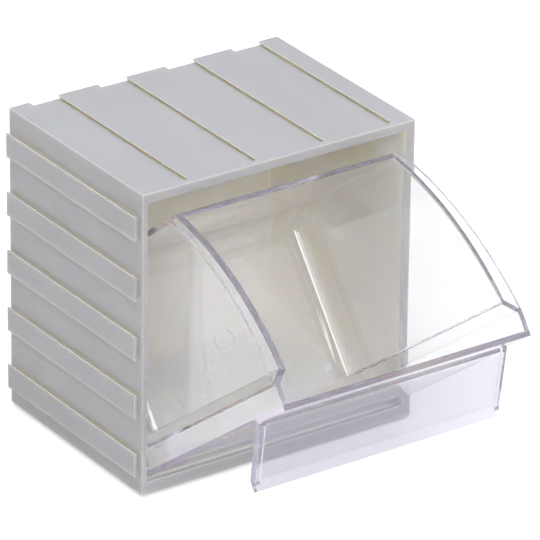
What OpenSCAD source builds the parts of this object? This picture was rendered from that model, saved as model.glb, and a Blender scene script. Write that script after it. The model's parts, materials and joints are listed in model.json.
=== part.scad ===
// Stackable storage box with a clear bin that tilts out of its open front.
// Two mouldings: an opaque housing and a clear bin that hangs in it on two stub pins.
// The housing has dovetail tongues on its left side and underneath, and matching grooves
// on its right side and on top, so that boxes slide together into a wall.
//
// Frame: +Z up, +Y to the back. The origin lies in the plane that the box stands on,
// at the middle of its width and depth. The bin is drawn tilted out by open_angle.

/* [Housing] */
// Width over the side walls, without the left tongues
body_w = 120; // [90:1:180]
// Depth from the front frame to the back
body_d = 90; // [75:1:140]
// Height from the underside of the floor to the top lands
body_h = 122; // [110:1:134]
// Thickness of the walls, the floor and the back
wall = 2; // [1.8:0.1:2.6]
// Height of the sill across the front, above the underside of the floor
sill_h = 4.9; // [4.4:0.1:5.8]
// Radius of the inner corners of the front opening
mouth_r = 1.5; // [0.5:0.1:3]

/* [Dovetail joints] */
// Thickness of the tongues, and depth of the grooves less the running gap
joint_t = 1.5; // [1:0.1:2]
// Undercut on each side of a tongue or groove
undercut = 1.05; // [0.6:0.05:1.4]
// Width of a top groove at its mouth
top_slot_w = 12.5; // [9:0.5:16]
// Number of top grooves
top_slots = 4; // [2:1:4]
// Distance from one side tongue to the next
side_pitch = 24; // [20:0.5:26]
// Width of a side tongue over its outer face
side_tongue_w = 10; // [8:0.5:13]
// Height of the lowest side tongue's middle above the underside of the floor
side_first = 11.5; // [10.5:0.1:12.5]
// Number of side tongues
side_tongues = 5; // [3:1:5]
// Solid length at the front that closes the grooves and stops the tongues
joint_stop = 3; // [2:0.1:6]
// Gap between a tongue and its groove
slide_gap = 0.15; // [0.05:0.05:0.3]

/* [Bin] */
// Angle by which the bin hangs open
open_angle = 53.1; // [30:0.1:60]
// Thickness of the front panel
panel_t = 2.2; // [1.8:0.1:3]
// Thickness of the bin's other walls and of its floor
bin_t = 2; // [1.5:0.1:2.5]
// Gap between the wide front of the bin and the housing's side walls
side_gap = 3.1; // [2.5:0.1:5]
// Gap between the shut bin and the back wall of the housing
back_gap = 6; // [3:0.5:12]
// Gap between the bin's floor and the housing's floor
floor_gap = 0.45; // [0.3:0.05:1]
// Gap between the bin's lip and the housing's ceiling
lip_gap = 0.9; // [0.6:0.1:3]
// Depth of the wide front section, behind the panel
front_deep = 7.5; // [5:0.5:12]
// Step in from the wide front section to the main walls, at 45 degrees
step_in = 4.6; // [3:0.1:7]
// Draft of each main side wall from the step to the rear
draft = 1.2; // [0:0.1:3]
// Height that the rear wall loses below the lip
rear_drop = 36.7; // [20:0.1:50]
// Radius of the curved top edges of the side walls
rim_r = 125; // [90:1:300]
// Thickness of the flange along the curved edges
rim_t = 2; // [1.5:0.1:3]
// Width of that flange beyond the wall at the rear
rim_rear = 2.3; // [1.5:0.1:4]
// Length clipped off the rear corners of that flange
rim_clip = 2.6; // [1:0.1:3]
// Inner radius where the side walls meet the floor
floor_r = 9.3; // [4:0.1:12]
// Inner radius where the rear wall meets the floor
rear_r = 11; // [4:0.1:14]
// Outer radius of the heel, where the panel meets the floor
heel_r = 8; // [6.5:0.1:9]
// Gap between the heel and the sill
heel_gap = 0.35; // [0.25:0.05:0.6]

/* [Label plate] */
// Height of the lip above the top of the sloped plate
plate_drop = 19.1; // [12:0.1:40]
// Reach of the plate in front of the panel, with its ledge
plate_reach = 21.8; // [14:0.1:26]
// Thickness of the plate and of its ledge
plate_t = 2; // [1.5:0.1:3]
// Depth of the ledge in front of the plate
ledge_deep = 3.9; // [2:0.1:6]
// Width of the raised rails at both ends of the plate
rail_w = 2; // [1.5:0.1:3]
// Height of those rails over the plate
rail_h = 1.2; // [0.6:0.1:2]

/* [Pivot] */
// Diameter of the stub pins
pin_d = 5; // [4:0.1:6]
// Distance of the pins behind the front of the housing
pin_back = 6; // [5.6:0.1:7]
// Depth of the blind sockets in the side walls
socket_deep = 1.4; // [1:0.1:1.5]
// Radial clearance of a pin in its socket
pin_gap = 0.05; // [0.02:0.01:0.1]
// Gap between a pin's tip and the end of its socket
tip_gap = 0.3; // [0.2:0.05:0.5]
// Chamfer round a pin's tip
tip_chamfer = 0.4; // [0.2:0.1:0.6]

/* [Hidden] */
$fn = 96;
far = 400;
over = 1;

// Housing
groove_t = joint_t + slide_gap;
base_z = joint_t;
top_z = base_z + body_h;
front_y = -body_d / 2;
back_y = body_d / 2;
left_x = -body_w / 2;
right_x = body_w / 2;
cavity_left = left_x + wall;
cavity_right = right_x - groove_t - wall;
cavity_w = cavity_right - cavity_left;
cavity_mid = (cavity_left + cavity_right) / 2;
cavity_floor = base_z + wall;
cavity_top = top_z - groove_t - wall;
cavity_back = back_y - wall;
joint_len = body_d - joint_stop;
top_pitch = body_w / top_slots;
side_z = [for (i = [0 : side_tongues - 1]) base_z + side_first + i * side_pitch];
top_x = [for (i = [0 : top_slots - 1]) left_x + (i + 0.5) * top_pitch];

// Bin, shut: depths run back from the front of the panel, which is flush with the housing
bin_floor = cavity_floor + floor_gap;
bin_top = cavity_top - lip_gap;
bin_d = cavity_back - back_gap - front_y;
wide_half = cavity_w / 2 - side_gap;
wide_in = wide_half - bin_t;
wide_end = panel_t + front_deep;
main_start = wide_end + step_in;
main_in = wide_in - step_in;
main_out = main_in + bin_t;
taper = atan(draft / (bin_d - bin_t - main_start));
rim_out = main_out - draft + rim_rear;
rim_chord = norm([bin_d - wide_end, rear_drop]);
rim_tilt = atan2(rear_drop, bin_d - wide_end);
rim_half = asin(rim_chord / 2 / rim_r);
rim_lean = rim_tilt - rim_half;
rim_mid = [wide_end - rim_r * sin(rim_lean), bin_top - rim_r * cos(rim_lean)];

// Sill: as thick as the heel leaves room for
heel_rise = bin_floor + heel_r - (base_z + sill_h);
sill_t = heel_r - sqrt(pow(heel_r + heel_gap, 2) - pow(heel_rise, 2));

// Pivot, level with the centre of the heel
pivot_y = front_y + pin_back;
pivot_z = bin_floor + heel_r;
socket_d = pin_d + 2 * pin_gap;
pin_out = cavity_w / 2 + socket_deep - tip_gap;

// Extrudes an outline drawn in (depth, height) across the width, from -half to half
module across(half) {
    rotate([90, 0, 90]) linear_extrude(2 * half, center = true) children();
}

// Extrudes an outline drawn in (x, height) towards the back
module backwards(length) {
    translate([0, length, 0]) rotate([90, 0, 0]) linear_extrude(length) children();
}

// Tongue or groove outline: w wide at its narrow root on the x axis, t thick
module dovetail(w, t, run) {
    polygon([[-w / 2, 0], [w / 2, 0], [w / 2 + run, t], [-w / 2 - run, t]]);
}

// Rectangle from (x0, z0) to (x1, z1) with all corners rounded
module rounded(x0, z0, x1, z1, r) {
    translate([x0 + r, z0]) square([x1 - x0 - 2 * r, z1 - z0]);
    translate([x0, z0 + r]) square([x1 - x0, z1 - z0 - 2 * r]);
    for (x = [x0 + r, x1 - r], z = [z0 + r, z1 - r]) translate([x, z]) circle(r);
}

// ---- Housing ----

module tongue(w) {
    backwards(joint_len) dovetail(w - 2 * undercut, joint_t, undercut);
}

module groove(w) {
    backwards(joint_len + over) dovetail(w, groove_t, undercut);
}

module tongues() {
    for (z = side_z) translate([left_x, front_y + joint_stop, z]) rotate([0, -90, 0])
        tongue(side_tongue_w);
    for (x = top_x) translate([x, front_y + joint_stop, base_z]) rotate([0, 180, 0])
        tongue(top_slot_w + 2 * (undercut - slide_gap));
}

module grooves() {
    slot_w = side_tongue_w - 2 * (undercut - slide_gap);
    for (z = side_z) translate([right_x, front_y + joint_stop, z]) rotate([0, -90, 0])
        groove(slot_w);
    for (x = top_x) translate([x, front_y + joint_stop, top_z]) rotate([0, 180, 0])
        groove(top_slot_w);
}

module cavity() {
    translate([0, front_y + sill_t, 0]) backwards(cavity_back - front_y - sill_t)
        rounded(cavity_left, cavity_floor, cavity_right, cavity_top, mouth_r);
    translate([0, front_y - over, 0]) backwards(sill_t + 2 * over)
        rounded(cavity_left, base_z + sill_h, cavity_right, cavity_top, mouth_r);
}

module sockets() {
    translate([cavity_mid, pivot_y, pivot_z]) rotate([0, 90, 0])
        cylinder(h = cavity_w + 2 * socket_deep, d = socket_d, center = true);
}

module housing() color("gainsboro") difference() {
    union() {
        translate([left_x, front_y, base_z]) cube([body_w, body_d, body_h]);
        tongues();
    }
    grooves();
    cavity();
    sockets();
}

// ---- Bin, drawn shut with its middle at x = 0 and the panel's front at y = 0 ----

// Upright outline, open at the top, from x0 to x1 and up from z0, with bottom corners r0 and r1
module trough(x0, x1, z0, r0, r1) {
    translate([x0 + r0, z0]) square([x1 - x0 - r0 - r1, far]);
    translate([x0, z0 + r0]) square([x1 - x0 - r1, far]);
    translate([x0 + r0, z0 + r1]) square([x1 - x0 - r0, far]);
    translate([x0 + r0, z0 + r0]) circle(r0);
    translate([x1 - r1, z0 + r1]) circle(r1);
}

// Everything under the lip and under the falling curve of radius r
module under_rim(r) {
    square([wide_end, bin_top]);
    intersection() {
        translate([wide_end - over, 0]) square([bin_d, bin_top]);
        translate(rim_mid) circle(r, $fn = 360);
    }
}

// Main part: t inside the outer faces, both sides drawn in towards the rear by the draft
module main_part(half, t) {
    r = floor_r + bin_t - t;
    intersection_for(s = [0, 1]) mirror([s, 0, 0])
        translate([half, main_start, 0]) rotate([0, 0, taper]) translate([-half, -main_start, 0])
            translate([0, wide_end - over, 0]) backwards(bin_d)
                trough(-far / 2, half, bin_floor + t, r, r);
}

// Wide front part with its 45 degree step, seen from above, t inside the outer faces
module front_part(half, t) {
    shift = (bin_t - t) * tan(22.5);
    linear_extrude(far) polygon([
        [-half, 0], [half, 0], [half, wide_end + shift],
        [half - step_in, main_start + shift], [-half + step_in, main_start + shift],
        [-half, wide_end + shift]]);
}

module bin_outside() intersection() {
    across(far / 2) intersection() {
        trough(0, bin_d, bin_floor, heel_r, rear_r + bin_t);
        under_rim(rim_r);
    }
    union() {
        main_part(main_out, 0);
        front_part(wide_half, 0);
    }
}

module bin_inside() intersection() {
    across(far / 2) trough(panel_t, bin_d - bin_t, bin_floor + bin_t, heel_r - bin_t, rear_r);
    union() {
        main_part(main_in, bin_t);
        front_part(wide_in, bin_t);
    }
}

// Flange outside the main walls, along their curved top edges, with clipped rear corners
module rim() intersection() {
    across(far / 2) difference() {
        under_rim(rim_r);
        under_rim(rim_r - rim_t);
        translate([-over, 0]) square([wide_end, bin_top + over]);
        translate([bin_d, 0]) square(far);
    }
    linear_extrude(far) polygon([
        [-wide_half, wide_end - over], [wide_half, wide_end - over],
        [rim_out, bin_d - rim_clip], [rim_out - rim_clip / 2, bin_d],
        [rim_clip / 2 - rim_out, bin_d], [-rim_out, bin_d - rim_clip]]);
}

// Sloped label plate at 45 degrees with a ledge along its foot and a rail at each end
module label_plate() {
    top = bin_top - plate_drop;
    face_end = plate_reach - ledge_deep;
    ledge_top = top - face_end;
    plate_off = plate_t * sqrt(2);
    rail_off = rail_h * sqrt(2);
    foot = face_end + plate_t - plate_off;
    across(wide_half) polygon([
        [over, top], [0, top], [-face_end, ledge_top], [-plate_reach, ledge_top],
        [-plate_reach, ledge_top - plate_t], [-foot, ledge_top - plate_t],
        [0, top - plate_off], [over, top - plate_off]]);
    for (s = [-1, 1]) translate([s * (wide_half - rail_w / 2), 0, 0])
        across(rail_w / 2) polygon([
            [over, top + rail_off], [0, top + rail_off], [-face_end - rail_off, ledge_top],
            [-face_end, ledge_top], [0, top], [over, top]]);
}

module pins() {
    for (s = [-1, 1]) translate([0, pin_back, pivot_z]) rotate([0, s * 90, 0]) {
        translate([0, 0, wide_in]) cylinder(h = pin_out - tip_chamfer - wide_in, d = pin_d);
        translate([0, 0, pin_out - tip_chamfer])
            cylinder(h = tip_chamfer, d1 = pin_d, d2 = pin_d - 2 * tip_chamfer);
    }
}

module bin_shut() {
    difference() {
        union() {
            bin_outside();
            rim();
            label_plate();
        }
        bin_inside();
    }
    pins();
}

module tilt_bin() color("lavender", 0.35)
    translate([cavity_mid, pivot_y, pivot_z]) rotate([open_angle, 0, 0])
        translate([0, -pin_back, -pivot_z]) bin_shut();

housing();
tilt_bin();
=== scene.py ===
"""Stackable storage box: an open-fronted housing and the clear bin that tilts out of it."""

import json
import logging
import math
from dataclasses import dataclass
from enum import Enum

import bpy
from mathutils import Matrix, Vector


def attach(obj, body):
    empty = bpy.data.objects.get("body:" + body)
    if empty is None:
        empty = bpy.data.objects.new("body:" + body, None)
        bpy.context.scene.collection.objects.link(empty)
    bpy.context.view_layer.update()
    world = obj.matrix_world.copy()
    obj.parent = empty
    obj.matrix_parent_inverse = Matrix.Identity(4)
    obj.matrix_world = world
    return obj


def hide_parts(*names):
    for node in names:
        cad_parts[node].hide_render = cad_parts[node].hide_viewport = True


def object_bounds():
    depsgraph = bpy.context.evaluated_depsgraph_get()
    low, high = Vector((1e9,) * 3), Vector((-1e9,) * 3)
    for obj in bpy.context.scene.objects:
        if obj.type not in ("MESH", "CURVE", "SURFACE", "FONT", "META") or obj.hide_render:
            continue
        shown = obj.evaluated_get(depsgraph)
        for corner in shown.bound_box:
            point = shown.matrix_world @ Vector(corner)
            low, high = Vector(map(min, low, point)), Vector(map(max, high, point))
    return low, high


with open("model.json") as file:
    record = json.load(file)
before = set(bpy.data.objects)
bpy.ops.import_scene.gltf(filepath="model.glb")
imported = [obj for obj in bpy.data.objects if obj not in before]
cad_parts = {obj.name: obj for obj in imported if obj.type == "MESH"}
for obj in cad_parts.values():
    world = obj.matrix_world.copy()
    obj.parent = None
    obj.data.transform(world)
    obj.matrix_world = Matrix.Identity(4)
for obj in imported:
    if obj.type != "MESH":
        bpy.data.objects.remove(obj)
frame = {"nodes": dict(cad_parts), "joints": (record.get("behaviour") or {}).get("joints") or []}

CAD_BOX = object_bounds()
MM = 0.001

Triple = tuple[float, float, float]
Span = tuple[float, float]
Socket = bpy.types.NodeSocket

# The bin's hinge, and the directions in the open bin that are ahead and down once it is shut
HINGE = frame["joints"][0]
PIVOT = Vector(HINGE["pos_m"])
OPEN_ANGLE = math.radians(-HINGE["range_deg"][0])
AHEAD = Vector((0.0, -math.cos(OPEN_ANGLE), -math.sin(OPEN_ANGLE)))
DOWN = Vector((0.0, math.sin(OPEN_ANGLE), -math.cos(OPEN_ANGLE)))

logging.basicConfig(level=logging.INFO, format="%(message)s")
log = logging.getLogger("storage_box")


class Body(Enum):
    """The bodies that a piece can ride on."""

    HOUSING = "housing"
    BIN = "bin"


class Slot(Enum):
    """The record's material slots."""

    HOUSING = "housing_plastic"
    CLEAR = "clear_plastic"


# ---- Node wiring ----

# Sockets of a Mix node that mixes colours, which share their names with its other kinds
MIX_SHARE, MIX_FIRST, MIX_SECOND, MIX_COLOUR = 0, 6, 7, 2


class NodeBoard:
    """A node tree with short ways to add and wire its nodes."""

    def __init__(self, tree: bpy.types.NodeTree) -> None:
        """Takes over a tree and empties it.

        Args:
            tree: the node tree of a material, a world or a group.
        """
        self.tree = tree
        tree.nodes.clear()

    def add(self, kind: str, inputs: dict | None = None, **settings: object) -> bpy.types.Node:
        """Adds a node.

        Args:
            kind: the node's type name.
            inputs: socket names or numbers, each with a value or the socket that feeds it.
            settings: properties of the node.

        Returns:
            The new node.
        """
        node = self.tree.nodes.new(kind)
        for name, value in settings.items():
            setattr(node, name, value)
        for name, value in (inputs or {}).items():
            if isinstance(value, Socket):
                self.tree.links.new(value, node.inputs[name])
            else:
                node.inputs[name].default_value = value
        return node

    def math(self, operation: str, *terms: object) -> Socket:
        """Adds a Math node.

        Args:
            operation: the node's operation.
            terms: values or sockets, in order.

        Returns:
            The node's output.
        """
        return self.add("ShaderNodeMath", dict(enumerate(terms)), operation=operation).outputs[0]

    def dot(self, first: object, second: object) -> Socket:
        """Adds a dot product.

        Args:
            first: a vector or its socket.
            second: a vector or its socket.

        Returns:
            The product's value.
        """
        node = self.add("ShaderNodeVectorMath", {0: first, 1: second}, operation="DOT_PRODUCT")
        return node.outputs["Value"]

    def ramp(self, value: Socket, span: Span, result: Span = (0.0, 1.0)) -> Socket:
        """Maps a value smoothly from one range to another.

        Args:
            value: the socket to map.
            span: the values that give the first and the last result.
            result: the first and the last result.

        Returns:
            The mapped value.
        """
        limits = dict(zip(("From Min", "From Max", "To Min", "To Max"), (*span, *result)))
        node = self.add("ShaderNodeMapRange", {"Value": value, **limits}, interpolation_type="SMOOTHSTEP")
        return node.outputs["Result"]

    def beyond(self, place: Socket, toward: Vector, start: Vector, fade: float) -> Socket:
        """Masks the part of space that lies beyond a plane.

        Args:
            place: the surface's coordinates.
            toward: unit direction across the plane.
            start: a point on the plane.
            fade: distance over which the mask rises.

        Returns:
            0 before the plane and 1 beyond it.
        """
        reach = start.dot(toward)
        return self.ramp(self.dot(place, toward), (reach, reach + fade))

    def blend(self, share: object, first: object, second: object) -> Socket:
        """Mixes two colours.

        Args:
            share: how much of the second shows.
            first: a colour or its socket.
            second: a colour or its socket.

        Returns:
            The mixed colour.
        """
        inputs = {MIX_SHARE: share, MIX_FIRST: first, MIX_SECOND: second}
        return self.add("ShaderNodeMix", inputs, data_type="RGBA").outputs[MIX_COLOUR]


def rgba(colour: Triple) -> tuple[float, float, float, float]:
    """A colour with full alpha."""
    return (*colour, 1.0)


# ---- Shared effects ----

FLOAT, VECTOR = "NodeSocketFloat", "NodeSocketVector"
MOULDED_SURFACE = "moulded_surface"
EDGE_MASK = "edge_mask"


def new_group(name: str, takes: dict[str, str], gives: dict[str, str]) -> tuple[NodeBoard, dict, dict]:
    """Starts a shader node group.

    Args:
        name: the group's name.
        takes: names of its inputs, with their socket types.
        gives: names of its outputs, with their socket types.

    Returns:
        The group's board, the sockets of its inputs, and those of its outputs.
    """
    tree = bpy.data.node_groups.new(name, "ShaderNodeTree")
    for names, way in ((takes, "INPUT"), (gives, "OUTPUT")):
        for label, kind in names.items():
            tree.interface.new_socket(name=label, in_out=way, socket_type=kind)
    board = NodeBoard(tree)
    entry = board.add("NodeGroupInput")
    leave = board.add("NodeGroupOutput")
    entries = {label: entry.outputs[label] for label in takes}
    exits = {label: leave.inputs[label] for label in gives}
    return board, entries, exits


@dataclass(frozen=True)
class MouldedSurface:
    """The uneven surface of moulded plastic: soft clouds, streaks drawn out in depth, a fine grain."""

    cloud_detail: float = 3.0
    streak_stretch: Triple = (1.0, 0.12, 1.0)
    streak_detail: float = 4.0
    streak_roughness: float = 0.6
    grain_detail: float = 2.0

    def build(self) -> None:
        """Builds the group, which gives a cloud, a streak and a grain value from 0 to 1."""
        board, takes, gives = new_group(
            MOULDED_SURFACE,
            {"Place": VECTOR, "Cloud Scale": FLOAT, "Streak Scale": FLOAT, "Grain Scale": FLOAT},
            {"Cloud": FLOAT, "Streak": FLOAT, "Grain": FLOAT},
        )
        place = takes["Place"]
        drawn_out = board.add("ShaderNodeMapping", {"Vector": place, "Scale": self.streak_stretch})
        patterns = {
            "Cloud": {"Vector": place, "Detail": self.cloud_detail},
            "Streak": {"Vector": drawn_out.outputs[0], "Detail": self.streak_detail,
                       "Roughness": self.streak_roughness},
            "Grain": {"Vector": place, "Detail": self.grain_detail},
        }
        for label, inputs in patterns.items():
            noise = board.add("ShaderNodeTexNoise", {**inputs, "Scale": takes[f"{label} Scale"]})
            board.tree.links.new(noise.outputs[0], gives[label])


@dataclass(frozen=True)
class EdgeMask:
    """The edges of a piece, found where its normal and the rounded one part."""

    samples: int = 4
    match: Span = (0.995, 0.9)

    def build(self) -> None:
        """Builds the group, which gives 1 on edges within the radius and 0 on flat faces."""
        board, takes, gives = new_group(EDGE_MASK, {"Radius": FLOAT}, {"Mask": FLOAT})
        rounded = board.add("ShaderNodeBevel", {"Radius": takes["Radius"]}, samples=self.samples)
        flat = board.add("ShaderNodeNewGeometry")
        parted = board.dot(rounded.outputs[0], flat.outputs["Normal"])
        board.tree.links.new(board.ramp(parted, self.match), gives["Mask"])


# ---- Finishes ----


@dataclass(frozen=True)
class Plastic:
    """A moulded plastic: its name, and the scales of its clouds, streaks and grain."""

    name: str
    cloud_scale: float
    streak_scale: float
    grain_scale: float

    def begin(self) -> tuple[bpy.types.Material, NodeBoard, Socket, bpy.types.NodeOutputs]:
        """Starts the material with its uneven surface.

        Returns:
            The material, its board, the surface's coordinates, and the outputs of moulded_surface.
        """
        made = bpy.data.materials.new(self.name)
        made.use_nodes = True
        board = NodeBoard(made.node_tree)
        place = board.add("ShaderNodeTexCoord").outputs["Object"]
        scales = {"Cloud Scale": self.cloud_scale, "Streak Scale": self.streak_scale,
                  "Grain Scale": self.grain_scale}
        group = bpy.data.node_groups[MOULDED_SURFACE]
        surface = board.add("ShaderNodeGroup", {"Place": place, **scales}, node_tree=group)
        return made, board, place, surface.outputs


@dataclass(frozen=True)
class Cavity:
    """The housing's cavity, found from the CAD box and from the tongues, grooves and walls round it.

    Its mask reaches into the walls by the skin, and leaves out the front skin behind the housing's
    front. The strip along the sill, its front lower edge, can be masked off too.
    """

    depth: float = 90 * MM
    wall: float = 2 * MM
    tongue: float = 1.5 * MM
    groove: float = 1.65 * MM
    skin: float = 0.2 * MM
    front_skin: float = 0.3 * MM
    sill_strip: float = 2.445 * MM
    sill_fade: float = 4 * MM

    def mask(self, board: NodeBoard, place: Socket) -> Socket:
        """Masks the faces of the cavity.

        Args:
            board: the material's board.
            place: the surface's coordinates.

        Returns:
            1 inside the cavity and 0 outside.
        """
        low, high = CAD_BOX
        at_tongues, at_grooves = self.tongue + self.wall - self.skin, self.groove + self.wall - self.skin
        spans = ((low[0] + at_tongues, high[0] - at_grooves),
                 (high[1] - self.depth + self.front_skin, high[1] - self.wall + self.skin),
                 (low[2] + at_tongues, high[2] - at_grooves))
        inside = 1.0
        for axis, span in zip(board.add("ShaderNodeSeparateXYZ", {0: place}).outputs, spans):
            for test, limit in zip(("GREATER_THAN", "LESS_THAN"), span):
                inside = board.math("MULTIPLY", inside, board.math(test, axis, limit))
        return inside

    def past_sill(self, board: NodeBoard, place: Socket) -> Socket:
        """Masks what lies up and back from the strip along the sill.

        Args:
            board: the material's board.
            place: the surface's coordinates.

        Returns:
            1 away from the front lower edge and 0 along it.
        """
        low, high = CAD_BOX
        front_edge = Vector((0.0, high[1] - self.depth, low[2] + self.tongue + self.wall))
        up_and_back = Vector((0.0, 1.0, 1.0)).normalized()
        return board.beyond(place, up_and_back, front_edge + self.sill_strip * up_and_back, self.sill_fade)


@dataclass(frozen=True)
class HousingPlastic(Plastic):
    """Opaque light grey polystyrene, with painted cream light in its shaded recesses and painted warm
    light in the cavity.

    Its colour turns to cloudy in clouds and streaks, to a painted cream light where the recesses beside
    the tongues and in the grooves lie in shade, to a painted highlight on the edges, and to a painted warm
    light on the cavity's faces.
    """

    name: str = "housing_plastic"
    cloud_scale: float = 22.0
    streak_scale: float = 160.0
    grain_scale: float = 1400.0
    colour: Triple = (0.43, 0.43, 0.452)
    cloudy: Triple = (0.408, 0.408, 0.425)
    cloud_span: Span = (0.35, 0.7)
    streak_span: Span = (0.56, 0.72)
    streak_share: float = 0.35
    # Painted light: a cream colour put where the ambient occlusion finds the outside recesses in shade.
    recess_painted_light: Triple = (0.63, 0.615, 0.55)
    recess_shade_reach: float = 9 * MM
    recess_shade_samples: int = 8
    recess_shade_span: Span = (0.7, 0.3)
    # Painted highlight: a lighter colour along the edges, at the given share.
    edge: Triple = (0.46, 0.46, 0.482)
    edge_radius: float = 0.8 * MM
    edge_highlight_share: float = 0.1
    cavity: Cavity = Cavity()
    # Painted light: a lighter, warmer colour on the cavity's faces, up and back from the sill strip.
    inside: Triple = (0.95, 0.905, 0.85)
    gloss_span: Span = (0.3, 0.75)
    roughness: Span = (0.37, 0.49)
    grain_height: float = 0.02 * MM
    grain_strength: float = 0.5
    ior: float = 1.55
    glow: float = 1.0
    glow_scale: float = 1.0
    glow_reach: Triple = (4 * MM, 3.2 * MM, 2.2 * MM)

    def material(self) -> bpy.types.Material:
        """Builds the material.

        Returns:
            The finished material.
        """
        made, board, place, surface = self.begin()
        clouds = board.ramp(surface["Cloud"], self.cloud_span)
        streaks = board.ramp(surface["Streak"], self.streak_span, (0.0, self.streak_share))
        tint = board.blend(clouds, rgba(self.colour), rgba(self.cloudy))
        tint = board.blend(streaks, tint, rgba(self.cloudy))
        cavity = self.cavity.mask(board, place)
        painted_cavity_light = board.math("MULTIPLY", cavity, self.cavity.past_sill(board, place))
        # Painted light: cream where the recesses lie in shade.
        tint = board.blend(self.shaded_recess_mask(board, cavity), tint, rgba(self.recess_painted_light))
        # Painted highlight along the edges.
        tint = board.blend(self.edges(board), tint, rgba(self.edge))
        # Painted light: warm and light on the cavity's faces past the sill.
        tint = board.blend(painted_cavity_light, tint, rgba(self.inside))
        bump = board.add("ShaderNodeBump", {"Height": surface["Grain"], "Distance": self.grain_height,
                                            "Strength": self.grain_strength})
        body = board.add("ShaderNodeBsdfPrincipled", {
            "Base Color": tint, "Roughness": board.ramp(surface["Cloud"], self.gloss_span, self.roughness),
            "Normal": bump.outputs[0], "IOR": self.ior, "Subsurface Weight": self.glow,
            "Subsurface Radius": self.glow_reach, "Subsurface Scale": self.glow_scale})
        board.add("ShaderNodeOutputMaterial", {"Surface": body.outputs[0]})
        return made

    def shaded_recess_mask(self, board: NodeBoard, cavity: Socket) -> Socket:
        """Masks the outside recesses that lie in shade, for the painted cream light.

        Args:
            board: the material's board.
            cavity: the mask of the cavity.

        Returns:
            1 in narrow recesses and 0 on open faces and in the cavity.
        """
        open_sky = board.add("ShaderNodeAmbientOcclusion", {"Distance": self.recess_shade_reach},
                             samples=self.recess_shade_samples).outputs["AO"]
        outside = board.math("SUBTRACT", 1.0, cavity)
        return board.math("MULTIPLY", board.ramp(open_sky, self.recess_shade_span), outside)

    def edges(self, board: NodeBoard) -> Socket:
        """Masks the edges for the painted highlight.

        Args:
            board: the material's board.

        Returns:
            The painted highlight's share on edges and 0 on flat faces.
        """
        mask = board.add("ShaderNodeGroup", {"Radius": self.edge_radius},
                         node_tree=bpy.data.node_groups[EDGE_MASK]).outputs["Mask"]
        return board.math("MULTIPLY", mask, self.edge_highlight_share)


@dataclass(frozen=True)
class ClearPlastic(Plastic):
    """Clear glossy polystyrene with a violet cast in its depth.

    It is greyer in the label plate and hazy along the bin's bottom. The plate is found by its distance
    ahead of the pivot, and the bottom by its distance below it.
    """

    name: str = "clear_plastic"
    cloud_scale: float = 30.0
    streak_scale: float = 120.0
    grain_scale: float = 900.0
    colour: Triple = (0.975, 0.98, 1.0)
    plate_colour: Triple = (0.77, 0.775, 0.86)
    plate_ahead: float = 6.34 * MM
    plate_fade: float = 1.3 * MM
    clarity: float = 0.97
    ior: float = 1.58
    streak_span: Span = (0.5, 0.8)
    roughness: Span = (0.002, 0.032)
    haze: float = 0.26
    haze_below: float = 7.363 * MM
    haze_fade: float = 0.5 * MM
    ripple_height: float = 0.03 * MM
    ripple_strength: float = 0.35
    cast: Triple = (0.95, 0.948, 0.955)
    absorbed: Triple = (0.86, 0.77, 0.95)
    density: float = 7.0

    def material(self) -> bpy.types.Material:
        """Builds the material.

        Returns:
            The finished material.
        """
        made, board, place, surface = self.begin()
        bump = board.add("ShaderNodeBump", {"Height": surface["Cloud"], "Distance": self.ripple_height,
                                            "Strength": self.ripple_strength})
        plate = board.beyond(place, AHEAD, PIVOT + self.plate_ahead * AHEAD, self.plate_fade)
        bottom = board.beyond(place, DOWN, PIVOT + self.haze_below * DOWN, self.haze_fade)
        tint = board.blend(plate, rgba(self.colour), rgba(self.plate_colour))
        gloss = board.math("ADD", board.ramp(surface["Streak"], self.streak_span, self.roughness),
                           board.math("MULTIPLY", bottom, self.haze))
        body = board.add("ShaderNodeBsdfPrincipled", {
            "Base Color": tint, "Roughness": gloss, "Normal": bump.outputs[0], "IOR": self.ior,
            "Transmission Weight": self.clarity})
        clear = board.add("ShaderNodeBsdfTransparent", {"Color": rgba(self.cast)})
        in_shadow = board.add("ShaderNodeLightPath").outputs["Is Shadow Ray"]
        seen = board.add("ShaderNodeMixShader", {0: in_shadow, 1: body.outputs[0], 2: clear.outputs[0]})
        depth = board.add("ShaderNodeVolumeAbsorption", {"Color": rgba(self.absorbed),
                                                         "Density": self.density})
        board.add("ShaderNodeOutputMaterial", {"Surface": seen.outputs[0], "Volume": depth.outputs[0]})
        return made


# ---- Pieces ----


def take_up(piece: bpy.types.Object) -> None:
    """Makes a piece the only one selected, and the active one.

    Args:
        piece: the piece to work on.
    """
    bpy.ops.object.select_all(action="DESELECT")
    piece.select_set(True)
    bpy.context.view_layer.objects.active = piece


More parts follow.
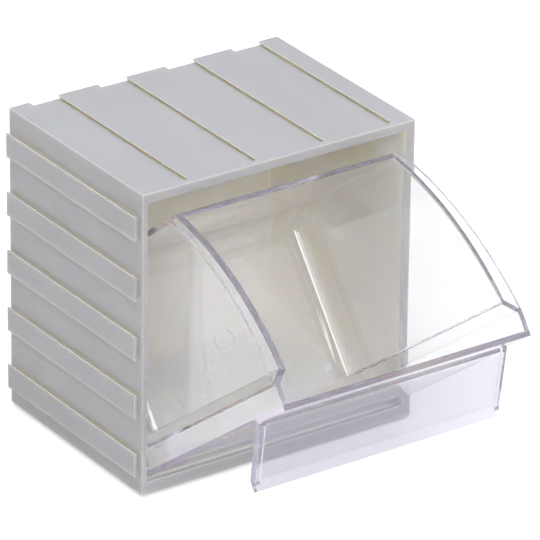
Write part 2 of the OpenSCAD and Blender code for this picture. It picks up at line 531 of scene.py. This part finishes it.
@dataclass
class Moulding:
    """One moulded piece, made from its CAD solid with the sharp edges of the solid softened."""

    name: str
    node: str
    body: Body
    slot: Slot
    merge_gap: float = 0.002 * MM
    flat_angle: float = math.radians(0.5)
    edge_radius: float = 0.3 * MM
    edge_steps: int = 2
    sharp_angle: float = math.radians(30)
    smooth_angle: float = math.radians(40)
    flat_face_weight: int = 100

    def build(self) -> bpy.types.Object:
        """Copies the solid, softens its edges and evens its shading.

        Returns:
            The finished piece.
        """
        piece = self.copied()
        self.soften(piece)
        self.mark(piece)
        bpy.ops.object.shade_smooth_by_angle(angle=self.smooth_angle)
        even = piece.modifiers.new("flat_faces", "WEIGHTED_NORMAL")
        even.keep_sharp = True
        even.weight = self.flat_face_weight
        bpy.ops.object.modifier_apply(modifier=even.name)
        return piece

    def copied(self) -> bpy.types.Object:
        """Copies the solid and merges its loose triangles into flat faces.

        Returns:
            The new piece, selected and active.
        """
        piece = bpy.data.objects.new(self.name, frame["nodes"][self.node].data.copy())
        piece.data.materials.clear()
        bpy.context.scene.collection.objects.link(piece)
        take_up(piece)
        bpy.ops.object.mode_set(mode="EDIT")
        bpy.ops.mesh.select_all(action="SELECT")
        bpy.ops.mesh.remove_doubles(threshold=self.merge_gap)
        bpy.ops.mesh.dissolve_limited(angle_limit=self.flat_angle)
        bpy.ops.object.mode_set(mode="OBJECT")
        bpy.ops.object.shade_smooth()
        return piece

    def soften(self, piece: bpy.types.Object) -> None:
        """Rounds the sharp edges.

        Args:
            piece: the active piece.
        """
        bevel = piece.modifiers.new("soft_edges", "BEVEL")
        bevel.width = self.edge_radius
        bevel.segments = self.edge_steps
        bevel.limit_method = "ANGLE"
        bevel.angle_limit = self.sharp_angle
        bevel.miter_outer = "MITER_ARC"
        bevel.harden_normals = False
        bpy.ops.object.modifier_apply(modifier=bevel.name)

    def mark(self, piece: bpy.types.Object) -> None:
        """Adds the marks that the mould leaves, none on a plain piece."""

    def dress(self, piece: bpy.types.Object, finish: bpy.types.Material) -> None:
        """Gives the piece its finish and its place in the frame.

        Args:
            piece: the finished mesh.
            finish: its material.
        """
        piece.data.materials.append(finish)
        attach(piece, self.body.value)
        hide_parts(self.node)
        log.info("%s rides on %s: %d faces", piece.name, self.body.value, len(piece.data.polygons))


@dataclass
class ClearBin(Moulding):
    """The clear bin, with the ring that the mould's gate leaves under its bottom.

    The ring's middle is given by its distances behind the pivot and below it, for the shut bin.
    """

    ring_behind: float = 34.7 * MM
    ring_below: float = 8.296 * MM
    ring_radius: float = 4.25 * MM
    ring_round: float = 0.5 * MM
    ring_steps: int = 64
    ring_round_steps: int = 12

    def mark(self, piece: bpy.types.Object) -> None:
        """Cuts the gate's ring, a round groove, into the outside of the bottom.

        Args:
            piece: the active piece.
        """
        bpy.ops.object.select_all(action="DESELECT")
        bpy.ops.mesh.primitive_torus_add(
            major_segments=self.ring_steps, minor_segments=self.ring_round_steps,
            major_radius=self.ring_radius, minor_radius=self.ring_round,
            location=PIVOT - self.ring_behind * AHEAD + self.ring_below * DOWN,
            rotation=(OPEN_ANGLE, 0.0, 0.0))
        cutter = bpy.context.object
        take_up(piece)
        groove = piece.modifiers.new("gate_ring", "BOOLEAN")
        groove.operation = "DIFFERENCE"
        groove.solver = "EXACT"
        groove.object = cutter
        bpy.ops.object.modifier_apply(modifier=groove.name)
        bpy.data.objects.remove(cutter)


# ---- Studio ----

BOX_MIDDLE: Triple = (0.0, 0.0, 0.06)
WHITE: Triple = (1.0, 1.0, 1.0)
LIGHT_BOUNCES = 48


@dataclass(frozen=True)
class SoftBox:
    """A bright panel of the room, seen only in glossy faces and through clear plastic.

    It is round, with its half angle in degrees, and fades over some degrees on both sides of its rim.
    """

    toward: Triple
    half_angle: float
    glow: float
    fade: float = 2.0

    def shown(self, board: NodeBoard, look: Socket) -> Socket:
        """Draws the panel.

        Args:
            board: the world's board.
            look: the direction looked in.

        Returns:
            The panel's glow in that direction, 0 off the panel.
        """
        facing = board.dot(look, Vector(self.toward).normalized())
        rim = tuple(math.cos(math.radians(self.half_angle + fade)) for fade in (self.fade, -self.fade))
        return board.ramp(facing, rim, (0.0, self.glow))


@dataclass(frozen=True)
class Lamp:
    """A square soft lamp that faces the box and shows in none of its glossy faces.

    Its distance and the length of its side are in metres, and its power is in watts.
    """

    name: str
    toward: Triple
    distance: float
    side: float
    power: float
    colour: Triple = WHITE

    def hang(self) -> None:
        """Hangs the lamp in its direction from the box and turns it to the box."""
        way = Vector(self.toward).normalized()
        bpy.ops.object.light_add(type="AREA", location=Vector(BOX_MIDDLE) + self.distance * way)
        lamp = bpy.context.object
        lamp.name = self.name
        lamp.data.size = self.side
        lamp.data.energy = self.power
        lamp.data.color = self.colour
        lamp.visible_glossy = False
        lamp.visible_transmission = False
        lamp.rotation_euler = way.to_track_quat("Z", "Y").to_euler()


@dataclass(frozen=True)
class PhotoCamera:
    """The camera where it took the photograph, with its angles in degrees and its place in metres."""

    place: Triple = (-1.1099, -1.6370, 1.0314)
    azimuth: float = 34.78
    elevation: float = 26.17
    roll: float = 0.77
    lens: float = 393.1
    sensor: float = 36.0
    far_clip: float = 20.0

    def set_up(self) -> None:
        """Adds the camera and looks through it."""
        bpy.ops.object.camera_add()
        camera = bpy.context.object
        camera.name = "photo_camera"
        camera.data.lens = self.lens
        camera.data.sensor_width = self.sensor
        camera.data.clip_end = self.far_clip
        camera.matrix_world = Matrix.Translation(self.place) @ self.turn()
        bpy.context.scene.camera = camera

    def turn(self) -> Matrix:
        """The camera's turn.

        Returns:
            A matrix whose columns are its right, its up and what is behind it.
        """
        azimuth, elevation, roll = (math.radians(a) for a in (self.azimuth, self.elevation, self.roll))
        ahead = Vector((math.cos(elevation) * math.sin(azimuth), math.cos(elevation) * math.cos(azimuth),
                        -math.sin(elevation)))
        right = Vector((math.cos(azimuth), -math.sin(azimuth), 0.0))
        up = right.cross(ahead)
        side = math.cos(roll) * right + math.sin(roll) * up
        top = math.cos(roll) * up - math.sin(roll) * right
        return Matrix((side, top, -ahead)).transposed().to_4x4()


@dataclass
class Studio:
    """Plain pale floor, white surroundings, soft lamps and the camera.

    The lifts are the floor's own glow where the camera sees it, where it is seen through clear plastic,
    and, over the far span of distances from the box, towards the background.
    """

    floor_half: float = 3.0
    floor_colour: Triple = (0.80, 0.79, 0.77)
    seen_lift: float = 0.40
    through_lift: float = 0.13
    far_span: Span = (0.4, 1.6)
    far_lift: float = 0.45
    ambient: float = 0.42
    room: float = 0.35
    room_through: float = 0.5
    soft_boxes: tuple[SoftBox, ...] = (
        SoftBox((0.512, -0.629, 0.584), 15.0, 1.55),
        SoftBox((-0.53, -0.62, 0.56), 3.0, 8.0),
        SoftBox((0.0, -0.80, 0.56), 2.5, 8.0),
        SoftBox((-0.66, -0.48, 0.46), 7.0, 3.0),
        SoftBox((0.90, -0.30, 0.33), 10.0, 14.0),
    )
    lamps: tuple[Lamp, ...] = (
        Lamp("top_lamp", (-0.1, -0.15, 1.0), 1.6, 1.2, 20.5, (0.93, 0.965, 1.0)),
        Lamp("camera_lamp", (-0.50, -0.74, 0.55), 2.3, 0.8, 18.4),
        Lamp("right_lamp", (0.55, -0.62, 0.56), 1.8, 0.6, 7.0),
    )

    def set_up(self) -> None:
        """Lays the floor, sets the surroundings, hangs the lamps and adds the camera."""
        self.lay_floor()
        self.surround()
        for lamp in self.lamps:
            lamp.hang()
        PhotoCamera().set_up()

    def lay_floor(self) -> None:
        """Lays the floor, lifted towards white where it is seen, which keeps the shadows."""
        bpy.ops.object.select_all(action="DESELECT")
        bpy.ops.mesh.primitive_plane_add(size=2 * self.floor_half)
        plane = bpy.context.object
        plane.name = "floor"
        paper = bpy.data.materials.new("floor_paper")
        paper.use_nodes = True
        board = NodeBoard(paper.node_tree)
        path = board.add("ShaderNodeLightPath").outputs
        place = board.add("ShaderNodeTexCoord").outputs["Object"]
        away = board.add("ShaderNodeVectorMath", {0: place}, operation="LENGTH").outputs["Value"]
        far = board.math("MULTIPLY", path["Is Camera Ray"],
                         board.ramp(away, self.far_span, (0.0, self.far_lift)))
        seen = board.math("MULTIPLY", path["Is Camera Ray"], self.seen_lift)
        through = board.math("MULTIPLY", path["Is Transmission Ray"], self.through_lift)
        lift = board.math("ADD", board.math("ADD", seen, through), far)
        matt = board.add("ShaderNodeBsdfDiffuse", {"Color": rgba(self.floor_colour)})
        glow = board.add("ShaderNodeEmission", {"Strength": lift})
        both = board.add("ShaderNodeAddShader", {0: matt.outputs[0], 1: glow.outputs[0]})
        board.add("ShaderNodeOutputMaterial", {"Surface": both.outputs[0]})
        plane.data.materials.append(paper)

    def surround(self) -> None:
        """Sets the world: white behind the box, even soft light, and a dim room with bright soft boxes.

        The room shows only in glossy faces and through clear plastic. The widest soft box is the one that
        the bottom of the open bin mirrors to the camera.
        """
        world = bpy.data.worlds.new("studio")
        bpy.context.scene.world = world
        world.use_nodes = True
        board = NodeBoard(world.node_tree)
        path = board.add("ShaderNodeLightPath").outputs
        look = board.add("ShaderNodeTexCoord").outputs["Generated"]
        through = board.math("MULTIPLY", path["Is Transmission Ray"], self.room_through)
        shown = board.math("MAXIMUM", self.room, through)
        for box in self.soft_boxes:
            shown = board.math("MAXIMUM", shown, box.shown(board, look))
        bent = board.math("MAXIMUM", path["Is Transmission Ray"], path["Is Glossy Ray"])
        lit = board.math("MAXIMUM", path["Is Camera Ray"], self.ambient)
        straight = board.math("SUBTRACT", 1.0, bent)
        strength = board.math("ADD", board.math("MULTIPLY", bent, shown),
                              board.math("MULTIPLY", straight, lit))
        back = board.add("ShaderNodeBackground", {"Color": rgba(WHITE), "Strength": strength})
        board.add("ShaderNodeOutputWorld", {"Surface": back.outputs[0]})


def main() -> None:
    """Builds both mouldings and the studio round them."""
    bpy.context.scene.view_settings.view_transform = "Standard"
    bpy.context.scene.cycles.max_bounces = LIGHT_BOUNCES
    bpy.context.scene.cycles.transmission_bounces = LIGHT_BOUNCES
    bpy.context.scene.cycles.glossy_bounces = LIGHT_BOUNCES
    MouldedSurface().build()
    EdgeMask().build()
    housing = Moulding("housing_shell", "housing", Body.HOUSING, Slot.HOUSING)
    housing.dress(housing.build(), HousingPlastic().material())
    clear_bin = ClearBin("clear_bin", "tilt_bin", Body.BIN, Slot.CLEAR)
    clear_bin.dress(clear_bin.build(), ClearPlastic().material())
    Studio().set_up()


if __name__ == "__main__":
    main()
